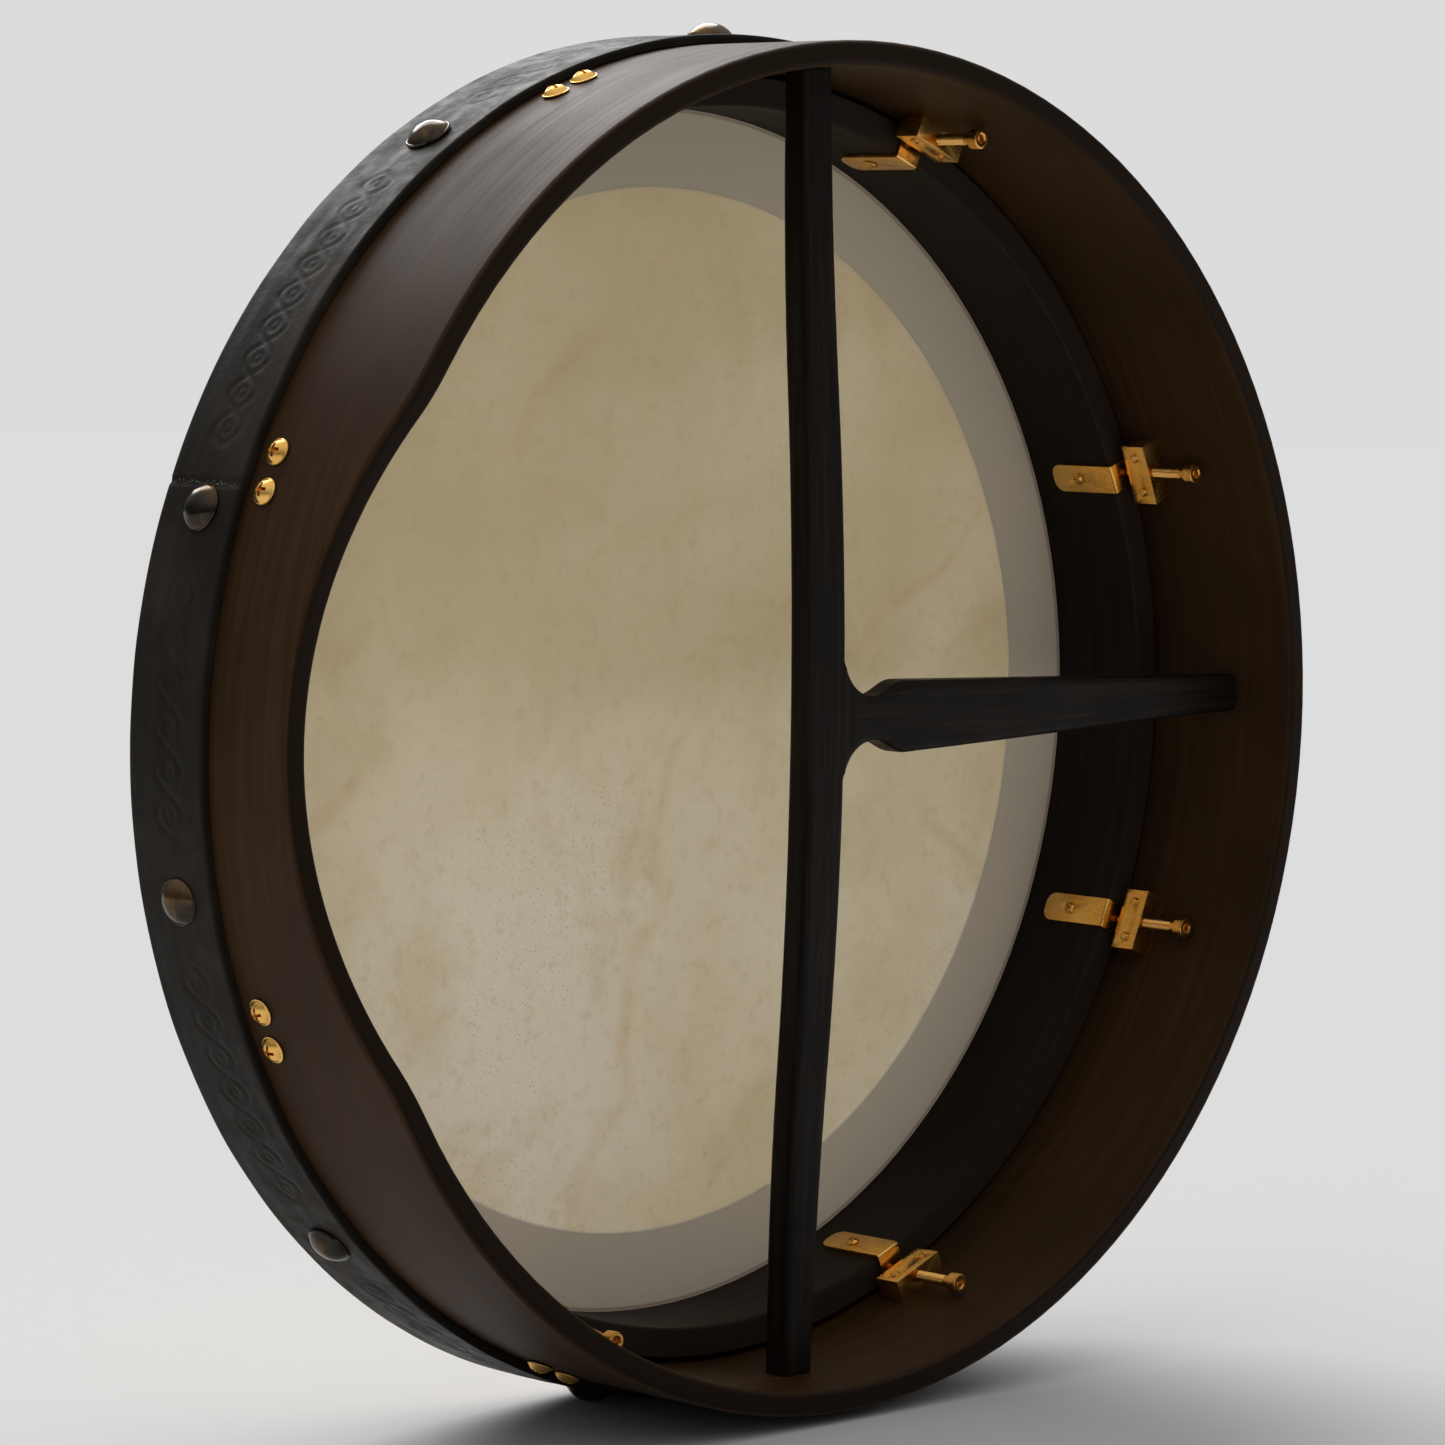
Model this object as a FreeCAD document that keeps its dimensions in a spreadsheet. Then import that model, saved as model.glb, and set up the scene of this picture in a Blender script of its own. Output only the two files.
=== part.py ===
import FreeCAD, Part
import math
import os

import Sketcher
from FreeCAD import Placement, Rotation, Vector

# A tunable bodhran, an Irish frame drum: a bent wooden shell with a T-bar across its open back, a skin
# nailed on at the front, and inside it a tuning hoop that eight socket bolts push against the skin.
#
# Frame: the drum stands on its rim. +Y is the drum's axis and points out of the playing face, -Y is the
# open back, +Z is up, and the scoop for the player's arm is on the -X side. The origin is the centre of
# the playing face. Angles are measured about the axis, from +X towards +Z.

# Driving dimensions in millimetres, or degrees where the note says so. "Set back" means the distance
# from the playing face towards the open back.
DIMENSIONS = (
    ("shell_radius", 228.6, "outer radius of the shell, an 18 inch drum"),
    ("shell_wall", 8.3, "thickness of the bent shell"),
    ("shell_depth", 99.8, "depth of the shell"),
    ("shell_setback", 2.5, "front edge of the shell, set back"),
    ("rim_round", 2.2, "rounding of the shell's rear edges"),
    ("shell_nose", 5.0, "rounding of the shell's front edge, under the skin"),
    ("scoop_depth", 24.4, "how far the arm scoop cuts into the rear edge"),
    ("scoop_radius", 250.0, "radius of the arm scoop"),
    ("scoop_blend", 40.0, "radius where the scoop runs out into the rear edge"),
    ("scoop_rise", 5.0, "middle of the scoop above the drum's centre"),
    ("hoop_inner", 208.0, "inner radius of the tuning hoop"),
    ("hoop_wall", 10.3, "thickness of the tuning hoop"),
    ("hoop_width", 38.5, "width of the tuning hoop along the axis"),
    ("hoop_setback", 1.3, "bearing edge of the tuning hoop, set back"),
    ("hoop_round", 3.0, "rounding of the bearing edge"),
    ("hoop_rear_round", 0.8, "rounding of the tuning hoop's rear edges"),
    ("skin_thickness", 1.0, "thickness of the goat skin"),
    ("skin_shoulder", 6.0, "radius where the skin turns over the shell"),
    ("skin_lap", 30.0, "set back of the skin's nailed edge"),
    ("skin_clearance", 0.1, "clearance between the shell and the skin's lap"),
    ("tape_inner", 181.0, "inner radius of the damping tape"),
    ("tape_outer", 213.0, "outer radius of the damping tape"),
    ("tape_thickness", 0.4, "thickness of the damping tape, which lies flush in the skin"),
    ("band_thickness", 2.2, "thickness of the leather band"),
    ("band_front", 7.0, "front edge of the leather band, set back"),
    ("band_width", 33.3, "width of the leather band"),
    ("band_round", 0.6, "rounding of the leather band's outer edges"),
    ("tack_radius", 7.9, "radius of a dome tack's head"),
    ("tack_height", 4.4, "height of a dome tack's head"),
    ("tack_setback", 24.0, "row of dome tacks, set back"),
    ("tack_pin_radius", 1.2, "radius of a dome tack's pin"),
    ("tack_pin_depth", 6.0, "depth of a dome tack's pin in the shell"),
    ("tuner_start", 22.5, "angle of the first tuner, in degrees"),
    ("tuner_axis", 215.4, "radius of the circle of tuner bolts"),
    ("block_inner", 211.8, "radius of the inner face of a tuner block"),
    ("block_width", 22.4, "width of a tuner block round the shell"),
    ("block_length", 10.2, "length of a tuner block along the axis"),
    ("block_setback", 44.0, "front face of a tuner block, set back"),
    ("bore_radius", 2.06, "radius of the bolt bore in a tuner block"),
    ("bolt_radius", 2.0, "radius of a tuner bolt's shank, M4"),
    ("bolt_tip", 41.4, "tip of a tuner bolt, set back"),
    ("bolt_length", 28.2, "length of a tuner bolt under its head"),
    ("bolt_head_radius", 3.5, "radius of a tuner bolt's head"),
    ("bolt_head_length", 4.0, "length of a tuner bolt's head"),
    ("bolt_bevel", 0.4, "bevel at a tuner bolt's tip and at its head"),
    ("socket_flats", 3.0, "width across the flats of the bolt's socket"),
    ("socket_depth", 2.2, "depth of the bolt's socket"),
    ("bracket_width", 10.5, "width of an L bracket"),
    ("bracket_sheet", 1.5, "sheet thickness of an L bracket"),
    ("bracket_front", 12.0, "front end of an L bracket, set back"),
    ("bracket_corner", 4.0, "radius of an L bracket's front corners"),
    ("bracket_bend", 1.2, "outer radius of an L bracket's bend"),
    ("bracket_clearance", 0.1, "clearance between an L bracket's plate and the hoop"),
    ("lip_clearance", 0.05, "clearance between an L bracket's lip and the hoop"),
    ("lip_margin", 1.0, "how far an L bracket's lip ends short of the hoop's outside"),
    ("bracket_screw_setback", 24.0, "screw of an L bracket, set back"),
    ("block_screw_gap", 13.3, "distance between the two screws of a tuner block"),
    ("block_screw_radius", 1.65, "radius of a block screw's shank"),
    ("block_screw_head", 4.6, "radius of a block screw's head"),
    ("block_screw_dome", 2.9, "height of a block screw's head"),
    ("block_screw_tip", 0.4, "how far a block screw's tip stands out of its block"),
    ("bracket_screw_radius", 1.2, "radius of a bracket screw's shank"),
    ("bracket_screw_head", 2.4, "radius of a bracket screw's head"),
    ("bracket_screw_dome", 1.5, "height of a bracket screw's head"),
    ("bracket_screw_length", 7.0, "length of a bracket screw in the hoop"),
    ("bar_thickness", 10.2, "thickness of the T-bar along the drum's axis"),
    ("bar_middle", 8.2, "half width of the T-bar's post at its middle"),
    ("bar_end", 6.0, "half width of the T-bar where it meets the shell"),
    ("bar_setback", 71.3, "centre line of the T-bar at the shell, set back"),
    ("bar_arch", 9.0, "how far the T-bar arches out at its middle"),
    ("bar_round", 2.4, "rounding of the T-bar's long edges"),
    ("arm_height", 2.6, "centre line of the T-bar's arm above the drum's centre"),
    ("neck_half", 8.3, "half width of the arm's neck"),
    ("neck_fillet", 11.0, "radius between the arm's neck and the post"),
    ("shoulder_half", 12.3, "half width of the arm's shoulder"),
    ("shoulder_round", 10.0, "radius of the arm's shoulder"),
    ("root_overlap", 0.1, "how far the arm's root runs into the post"),
    ("bar_blank_width", 80.0, "width of the arched blank that the T-bar is cut from"),
    ("bar_blank_depth", 120.0, "depth of the face outline that the T-bar is cut to"),
)

TUNERS = 8
# The dome tacks are set by eye, so their angles in degrees are uneven.
TACK_ANGLES = (90, 123, 161, 192, 225, 258, 290, 321, 352, 25, 57)
# How closely, in millimetres, an edge's place is matched when edges are chosen for rounding.
NEAR = 0.01
# Rounded edges of the T-bar are longer than this, in millimetres: the post's four, and the arm's outline.
POST_EDGE, ARM_EDGE = 100.0, 9.0

doc = FreeCAD.newDocument("bodhran")
sheet = doc.addObject("Spreadsheet::Sheet", "sizes")


def fill_sheet():
    """Write every driving dimension into the spreadsheet, with its alias and a note."""
    for row, (alias, value, note) in enumerate(DIMENSIONS, start=1):
        sheet.set(f"A{row}", note)
        sheet.set(f"B{row}", str(value))
        sheet.setAlias(f"B{row}", alias)
    doc.recompute()


def size(alias):
    """A driving dimension as a number."""
    return float(sheet.get(alias))


def bind(item, **expressions):
    """Bind properties of an object to spreadsheet formulas."""
    for name, formula in expressions.items():
        item.setExpression(name, formula)


def about_axis(angle):
    """The placement that turns a piece made on the +X side to its angle about the drum's axis."""
    return Placement(Vector(), Rotation(Vector(0, 1, 0), -angle))


def tuner_angle(number):
    return size("tuner_start") + (number - 1) * 360 / TUNERS


# ---- Bodies and sketches


def new_body(label):
    body = doc.addObject("PartDesign::Body", label)
    body.Label = label
    return body


def origin_part(body, role):
    return next(part for part in body.Origin.OriginFeatures if part.Role == role)


def new_sketch(body, plane, setback=None):
    """A sketch on one of a body's own planes, moved along the plane's normal by a formula."""
    sketch = body.newObject("Sketcher::SketchObject", "outline")
    sketch.AttachmentSupport = [(origin_part(body, plane), "")]
    sketch.MapMode = "FlatFace"
    if setback:
        sketch.setExpression(".AttachmentOffset.Base.z", setback)
    return sketch


def constrain(sketch, formula, *constraint):
    """Add a dimension to a sketch and bind it to a spreadsheet formula."""
    index = sketch.addConstraint(Sketcher.Constraint(*constraint))
    sketch.setExpression(f"Constraints[{index}]", formula)


def add_circle(sketch, radius, radius_formula, x=0.0, x_formula=None):
    """A circle on the sketch's own x axis."""
    circle = sketch.addGeometry(Part.Circle(Vector(x, 0, 0), Vector(0, 0, 1), radius))
    constrain(sketch, radius_formula, "Radius", circle, radius)
    if x_formula:
        sketch.addConstraint(Sketcher.Constraint("PointOnObject", circle, 3, -1))
        constrain(sketch, x_formula, "DistanceX", -1, 1, circle, 3, x)
    else:
        sketch.addConstraint(Sketcher.Constraint("Coincident", circle, 3, -1, 1))


def add_outline(sketch, curves):
    """Add a closed chain of lines and arcs, joined where their ends meet."""
    first = sketch.GeometryCount
    for curve in curves:
        sketch.addGeometry(curve)
    ends = [(here, end) for here in range(first, first + len(curves)) for end in (1, 2)]
    while ends:
        here = ends.pop()
        place = sketch.getPoint(*here)
        there = min(ends, key=lambda other: place.distanceToPoint(sketch.getPoint(*other)))
        ends.remove(there)
        sketch.addConstraint(Sketcher.Constraint("Coincident", *here, *there))
    return first


def line(start, end):
    return Part.LineSegment(Vector(*start, 0), Vector(*end, 0))


def polygon(points):
    return [line(start, end) for start, end in zip(points, points[1:] + points[:1])]


def pad(body, sketch, length, reverse=False, middle=False):
    feature = body.newObject("PartDesign::Pad", "pad")
    feature.Profile = sketch
    feature.Reversed = reverse
    feature.Midplane = middle
    feature.setExpression("Length", length)
    return feature


def pocket(body, sketch, length=None, reverse=False, middle=False):
    """Cut a sketch out of a body, to a depth or right through."""
    feature = body.newObject("PartDesign::Pocket", "pocket")
    feature.Profile = sketch
    feature.Reversed = reverse
    feature.Midplane = middle
    if length:
        feature.setExpression("Length", length)
    else:
        feature.Type = "ThroughAll"
    before = feature.BaseFeature.Shape.Volume
    doc.recompute()
    if feature.Shape.Volume > before - 1e-3:
        raise RuntimeError(f"a pocket in {body.Label} removes nothing")
    return feature


def revolve(body, sketch, axis):
    feature = body.newObject("PartDesign::Revolution", "revolution")
    feature.Profile = sketch
    feature.ReferenceAxis = (origin_part(body, axis), [""])
    feature.Angle = 360
    return feature


def round_edges(body, base, radius, wanted):
    """Round the edges of a body that the function named wanted accepts."""
    names = [f"Edge{n}" for n, edge in enumerate(base.Shape.Edges, start=1) if wanted(edge)]
    feature = body.newObject("PartDesign::Fillet", "rounding")
    feature.Base = (base, names)
    feature.setExpression("Radius", radius)
    return feature


def boolean(kind, label, base, tool):
    feature = doc.addObject(f"Part::{kind}", label)
    feature.Label = label
    feature.Base = base
    feature.Tool = tool
    return feature


def group(label, members):
    """One node that holds several separate solids."""
    feature = doc.addObject("Part::Compound", label)
    feature.Label = label
    feature.Links = members
    return feature


def copies(master, placements):
    """Linked copies of one piece, each at its own placement."""
    links = []
    for placement in placements:
        link = doc.addObject("App::Link", f"{master.Name}_copy")
        link.LinkedObject = master
        link.Placement = placement
        links.append(link)
    return links


def add_ring(sketch, inner, outer):
    """Two circles about the drum's axis. Their formulas set the radii, so the first ones are rough."""
    add_circle(sketch, size("shell_radius") - size("shell_wall"), inner)
    add_circle(sketch, size("shell_radius"), outer)


def hoop(label, inner, outer, setback, width):
    """A round hoop about the drum's axis, from its front edge towards the open back."""
    body = new_body(label)
    sketch = new_sketch(body, "XZ_Plane", setback)
    add_ring(sketch, inner, outer)
    feature = pad(body, sketch, width)
    doc.recompute()
    return body, feature


# ---- The shell


def scoop_outline():
    """The arm scoop seen along X: one long arc, with a blend at each end into the rear edge."""
    rear = -(size("shell_setback") + size("shell_depth"))
    radius, blend, rise = size("scoop_radius"), size("scoop_blend"), size("scoop_rise")
    centre = rear + size("scoop_depth") - radius
    reach = math.sqrt((radius + blend) ** 2 - (rear + blend - centre) ** 2)
    share = radius / (radius + blend)
    join = (centre + (rear + blend - centre) * share, reach * share)
    half_turn = math.atan2(reach - join[1], rear + blend - join[0]) / 2
    waist = (rear + blend - blend * math.cos(half_turn), reach - blend * math.sin(half_turn))
    behind = rear - 2 * size("rim_round")

    def at(point, side):
        return Vector(point[0], rise + side * point[1], 0)

    end, corner = (rear, reach), (behind, reach)
    return [
        Part.Arc(at(join, -1), at((centre + radius, 0), 1), at(join, 1)),
        Part.Arc(at(join, 1), at(waist, 1), at(end, 1)),
        Part.LineSegment(at(end, 1), at(corner, 1)),
        Part.LineSegment(at(corner, 1), at(corner, -1)),
        Part.LineSegment(at(corner, -1), at(end, -1)),
        Part.Arc(at(end, -1), at(waist, -1), at(join, -1)),
    ]


def shell_blank():
    """The bent shell with its arm scoop and rounded rear edges, before any hole is drilled."""
    body, blank = hoop(
        "shell_blank",
        "sizes.shell_radius - sizes.shell_wall",
        "sizes.shell_radius",
        "sizes.shell_setback",
        "sizes.shell_depth",
    )
    front = -size("shell_setback") - NEAR
    middle = size("shell_radius") - size("shell_wall") / 2

    def nose(edge):
        return edge.BoundBox.YMin > front and edge.BoundBox.XMax > middle

    round_edges(body, blank, "sizes.shell_nose", nose)
    sketch = new_sketch(body, "YZ_Plane")
    add_outline(sketch, scoop_outline())
    doc.recompute()
    scooped = pocket(body, sketch)
    shallow = NEAR - (size("shell_setback") + size("shell_depth") - size("scoop_depth"))

    def along_rear(edge):
        return edge.BoundBox.YMax < shallow and edge.Length > 2 * size("shell_wall")

    round_edges(body, scooped, "sizes.rim_round", along_rear)
    return body


# ---- The head: skin, damping tape, leather band and dome tacks

# The radius of the skin's outside where it is lapped over the shell.
OVER_SKIN = "sizes.shell_radius + sizes.skin_clearance + sizes.skin_thickness"


def skin_blank():
    """The skin: flat over the tuning hoop, turned over the shell and lapped down its outside.

    The damping tape is pressed into its face.
    """
    body = new_body("skin_blank")
    sketch = new_sketch(body, "XY_Plane")
    thick, lap = size("skin_thickness"), -size("skin_lap")
    outer = size("shell_radius") + thick + size("skin_clearance")
    turn = size("skin_shoulder")
    half = turn * (1 - math.sqrt(0.5))
    inner_turn = turn - thick
    inner_half = thick + inner_turn * (1 - math.sqrt(0.5))
    curves = [
        line((0, 0), (outer - turn, 0)),
        Part.Arc(Vector(outer - turn, 0, 0), Vector(outer - half, -half, 0), Vector(outer, -turn, 0)),
        line((outer, -turn), (outer, lap)),
        line((outer, lap), (outer - thick, lap)),
        line((outer - thick, lap), (outer - thick, -turn)),
        Part.Arc(
            Vector(outer - thick, -turn, 0),
            Vector(outer - inner_half, -inner_half, 0),
            Vector(outer - turn, -thick, 0),
        ),
        line((outer - turn, -thick), (0, -thick)),
        line((0, -thick), (0, 0)),
    ]
    add_outline(sketch, curves)
    revolve(body, sketch, "Y_Axis")
    doc.recompute()
    pressed = new_sketch(body, "XZ_Plane")
    add_ring(pressed, "sizes.tape_inner", "sizes.tape_outer")
    pocket(body, pressed, "sizes.tape_thickness", reverse=True)
    return body


def damping_tape():
    """A flat ring of tape in the playing face, over the tuning hoop's edge."""
    body = new_body("damping_tape")
    sketch = new_sketch(body, "XZ_Plane")
    add_ring(sketch, "sizes.tape_inner", "sizes.tape_outer")
    pad(body, sketch, "sizes.tape_thickness")
    return body


def band_blank():
    """The leather band round the outside, over the skin's nailed edge."""
    outside = f"{OVER_SKIN} + sizes.band_thickness"
    body, band = hoop("band_blank", OVER_SKIN, outside, "sizes.band_front", "sizes.band_width")
    middle = size("shell_radius") + size("skin_thickness") + size("band_thickness") / 2
    round_edges(body, band, "sizes.band_round", lambda edge: edge.BoundBox.XMax > middle)
    return body


def domed_nail(label, seat, head, dome, shank, tip):
    """A domed head seated at radius seat, with a round shank along -X that ends at radius tip."""
    cap = doc.addObject("Part::Sphere", f"{label}_dome")
    ball = f"({head}^2 + {dome}^2) / (2 * {dome})"
    bind(cap, Radius=ball, Angle1=f"asin(1 - {dome} / ({ball}))")
    cap.Placement = Placement(Vector(), Rotation(Vector(0, 1, 0), 90))
    cap.setExpression(".Placement.Base.x", f"{seat} + {dome} - {ball}")
    pin = doc.addObject("Part::Cylinder", f"{label}_pin")
    bind(pin, Radius=shank, Height=f"{seat} - ({tip})")
    pin.Placement = Placement(Vector(), Rotation(Vector(0, 1, 0), 90))
    pin.setExpression(".Placement.Base.x", tip)
    return boolean("Fuse", label, cap, pin)


def dome_tacks():
    """The dome tacks that hold the skin and the leather band to the shell."""
    tack = domed_nail(
        "tack",
        f"({OVER_SKIN} + sizes.band_thickness)",
        "sizes.tack_radius",
        "sizes.tack_height",
        "sizes.tack_pin_radius",
        "sizes.shell_radius - sizes.tack_pin_depth",
    )
    row = Vector(0, -size("tack_setback"), 0)
    places = [Placement(row, about_axis(angle).Rotation) for angle in TACK_ANGLES]
    return group("dome_tacks", copies(tack, places))


# ---- The tuning gear


def tuner_block(number):
    """A brass block screwed to the inside of the shell, bored for its bolt."""
    body = new_body(f"tuner_block_{number}")
    sketch = new_sketch(body, "XZ_Plane", "sizes.block_setback")
    inner, half = size("block_inner"), size("block_width") / 2
    wall = size("shell_radius") - size("shell_wall")
    back = math.sqrt(wall**2 - half**2)
    first = add_outline(
        sketch,
        [
            line((back, half), (inner, half)),
            line((inner, half), (inner, -half)),
            line((inner, -half), (back, -half)),
            Part.Arc(Vector(back, -half, 0), Vector(wall, 0, 0), Vector(back, half, 0)),
        ],
    )
    constrain(sketch, "sizes.block_inner", "DistanceX", -1, 1, first + 1, 1, inner)
    add_circle(sketch, size("bore_radius"), "sizes.bore_radius", size("tuner_axis"), "sizes.tuner_axis")
    pad(body, sketch, "sizes.block_length")
    doc.recompute()
    holes = new_sketch(body, "YZ_Plane")
    middle = -(size("block_setback") + size("block_length") / 2)
    radius = size("block_screw_radius")
    for side in (-1, 1):
        centre = Vector(middle, side * size("block_screw_gap") / 2, 0)
        hole = holes.addGeometry(Part.Circle(centre, Vector(0, 0, 1), radius))
        constrain(holes, "sizes.block_screw_radius", "Radius", hole, radius)
    pocket(body, holes, reverse=True)
    body.Placement = about_axis(tuner_angle(number))
    return body


def tuner_bolt(number):
    """A socket head cap screw along the drum's axis; its tip pushes on the bracket's lip."""
    body = new_body(f"tuner_bolt_{number}")
    tip, neck = -size("bolt_tip"), -(size("bolt_tip") + size("bolt_length"))
    end = neck - size("bolt_head_length")
    shank, head, bevel = size("bolt_radius"), size("bolt_head_radius"), size("bolt_bevel")
    outline = [
        (0, tip),
        (shank - bevel, tip),
        (shank, tip - bevel),
        (shank, neck),
        (head, neck),
        (head, end + bevel),
        (head - bevel, end),
        (0, end),
    ]
    sketch = new_sketch(body, "XY_Plane")
    add_outline(sketch, polygon(outline))
    revolve(body, sketch, "Y_Axis")
    doc.recompute()
    socket = new_sketch(body, "XZ_Plane", "sizes.bolt_tip + sizes.bolt_length + sizes.bolt_head_length")
    corner = size("socket_flats") / math.sqrt(3)
    turns = [math.radians(60 * step) for step in range(6)]
    add_outline(socket, polygon([(corner * math.cos(turn), corner * math.sin(turn)) for turn in turns]))
    pocket(body, socket, "sizes.socket_depth")
    place = about_axis(tuner_angle(number)).multVec(Vector(size("tuner_axis"), 0, 0))
    body.Placement = Placement(place, Rotation())
    return body


def hoop_bracket(number):
    """An L bracket on the tuning hoop: a plate on its inner face, and a lip over its rear edge."""
    body = new_body(f"hoop_bracket_{number}")
    metal = size("bracket_sheet")
    outside = size("hoop_inner") - size("bracket_clearance")
    inside = outside - metal
    lip = -(size("hoop_setback") + size("hoop_width") + size("lip_clearance"))
    lip_end = size("hoop_inner") + size("hoop_wall") - size("lip_margin")
    front = -size("bracket_front")
    sketch = new_sketch(body, "XY_Plane")
    outline = [
        (inside, front),
        (inside, lip - metal),
        (lip_end, lip - metal),
        (lip_end, lip),
        (outside, lip),
        (outside, front),
    ]
    add_outline(sketch, polygon(outline))
    plate = pad(body, sketch, "sizes.bracket_width", middle=True)
    doc.recompute()
    hole = new_sketch(body, "YZ_Plane")
    setback, radius = size("bracket_screw_setback"), size("bracket_screw_radius")
    screw = hole.addGeometry(Part.Circle(Vector(-setback, 0, 0), Vector(0, 0, 1), radius))
    constrain(hole, "sizes.bracket_screw_radius", "Radius", screw, radius)
    constrain(hole, "sizes.bracket_screw_setback", "DistanceX", screw, 3, -1, 1, setback)
    drilled = pocket(body, hole, reverse=True)

    def front_corner(edge):
        box = edge.BoundBox
        return box.YMin > front - NEAR and box.ZLength < NEAR

    rounded = round_edges(body, drilled, "sizes.bracket_corner", front_corner)
    doc.recompute()

    def outer_bend(edge):
        box = edge.BoundBox
        return box.XMax < inside + NEAR and box.YMax < lip and box.ZLength > metal

    round_edges(body, rounded, "sizes.bracket_bend", outer_bend)
    body.Placement = about_axis(tuner_angle(number))
    return body


def tuning_hoop_blank():
    """The tuning hoop, with the edge that bears on the skin rounded."""
    body, blank = hoop(
        "tuning_hoop_blank",
        "sizes.hoop_inner",
        "sizes.hoop_inner + sizes.hoop_wall",
        "sizes.hoop_setback",
        "sizes.hoop_width",
    )
    front = -size("hoop_setback") - NEAR
    middle = size("hoop_inner") + size("hoop_wall") / 2

    def bearing_edge(edge):
        return edge.BoundBox.YMin > front and edge.BoundBox.XMax > middle

    rounded = round_edges(body, blank, "sizes.hoop_round", bearing_edge)
    doc.recompute()
    halfway = front - size("hoop_width") / 2
    round_edges(body, rounded, "sizes.hoop_rear_round", lambda edge: edge.BoundBox.YMax < halfway)
    return body


def block_screws():
    """The two domed screws of each tuner block, driven from outside the shell."""
    screw = domed_nail(
        "block_screw",
        "sizes.shell_radius",
        "sizes.block_screw_head",
        "sizes.block_screw_dome",
        "sizes.block_screw_radius",
        "sizes.block_inner - sizes.block_screw_tip",
    )
    middle = -(size("block_setback") + size("block_length") / 2)
    placements = []
    for number in range(1, TUNERS + 1):
        turn = about_axis(tuner_angle(number))
        for side in (-1, 1):
            offset = turn.multVec(Vector(0, middle, side * size("block_screw_gap") / 2))
            placements.append(Placement(offset, turn.Rotation))
    return group("block_screws", copies(screw, placements))


def bracket_screws():
    """The domed screw that holds each L bracket to the tuning hoop, driven from inside the drum."""
    screw = domed_nail(
        "bracket_screw",
        "sizes.bracket_sheet + sizes.bracket_clearance",
        "sizes.bracket_screw_head",
        "sizes.bracket_screw_dome",
        "sizes.bracket_screw_radius",
        "-sizes.bracket_screw_length",
    )
    place = Vector(size("hoop_inner"), -size("bracket_screw_setback"), 0)
    placements = []
    for number in range(1, TUNERS + 1):
        turn = about_axis(tuner_angle(number))
        placements.append(turn.multiply(Placement(place, Rotation(Vector(0, 1, 0), 180))))
    return group("bracket_screws", copies(screw, placements))


# ---- The T-bar


def arch_points(offset, both_ways):
    """One face of the arched bar, as (along, away) points: the ends and middles of its arcs."""
    reach = size("shell_radius")
    rise = size("bar_arch") / 2
    halfway = reach / 2
    bend = (halfway**2 + rise**2) / (2 * rise)
    outer = size("bar_setback") + size("bar_arch")

    def away(along):
        if along <= halfway:
            return -(offset + outer - bend + math.sqrt(bend**2 - along**2))
        return -(offset + size("bar_setback") + bend - math.sqrt(bend**2 - (reach - along) ** 2))

    points = [(reach * share, away(reach * share)) for share in (0, 0.25, 0.5, 0.75, 1)]
    if both_ways:
        points = [(-along, height) for along, height in reversed(points[1:])] + points
    return points


def arched_blank(body, plane, both_ways):
    """A wide band that follows the T-bar's arch, drawn on a plane that holds the drum's axis."""
    half = size("bar_thickness") / 2

    def at(point):
        along, away = point
        return Vector(away, along, 0) if plane == "YZ_Plane" else Vector(along, away, 0)

    front = [at(point) for point in arch_points(-half, both_ways)]
    rear = [at(point) for point in arch_points(half, both_ways)]
    curves = [Part.LineSegment(front[0], rear[0]), Part.LineSegment(front[-1], rear[-1])]
    for points in (front, rear):
        curves += [Part.Arc(*arc) for arc in zip(points[0::2], points[1::2], points[2::2])]
    sketch = new_sketch(body, plane)
    add_outline(sketch, curves)
    pad(body, sketch, "sizes.bar_blank_width", middle=True)


def inside_of_shell():
    """The round space inside the shell, to which the T-bar's ends are fitted."""
    space = doc.addObject("Part::Cylinder", "inside_of_shell")
    bind(space, Radius="sizes.shell_radius - sizes.shell_wall", Height="sizes.shell_depth")
    space.Placement = Placement(Vector(), Rotation(Vector(1, 0, 0), 90))
    return space


def rounded_bar(label, bar, fits_in, shortest):
    """Round a bar's edges that are longer than shortest, and cut its ends to the shell."""
    doc.recompute()
    radius = size("bar_round")
    long_edges = [n for n, edge in enumerate(bar.Shape.Edges, start=1) if edge.Length > shortest]
    rounding = doc.addObject("Part::Fillet", f"{label}_rounding")
    rounding.Base = bar
    rounding.Edges = [(n, radius, radius) for n in long_edges]
    return boolean("Common", label, rounding, fits_in)


def t_bar_post(space):
    """The post: right across the drum, widest at its middle and arched towards the open back."""
    body = new_body("post_arch")
    arched_blank(body, "YZ_Plane", both_ways=True)
    face = new_body("post_face")
    sketch = new_sketch(face, "XZ_Plane")
    reach, middle, end = size("shell_radius"), size("bar_middle"), size("bar_end")
    curves = [
        Part.Arc(Vector(end, -reach, 0), Vector(middle, 0, 0), Vector(end, reach, 0)),
        line((end, reach), (-end, reach)),
        Part.Arc(Vector(-end, reach, 0), Vector(-middle, 0, 0), Vector(-end, -reach, 0)),
        line((-end, -reach), (end, -reach)),
    ]
    add_outline(sketch, curves)
    pad(face, sketch, "sizes.bar_blank_depth")
    doc.recompute()
    bar = boolean("Common", "post_blank", body, face)
    return rounded_bar("t_bar_post", bar, space, POST_EDGE)


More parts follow.
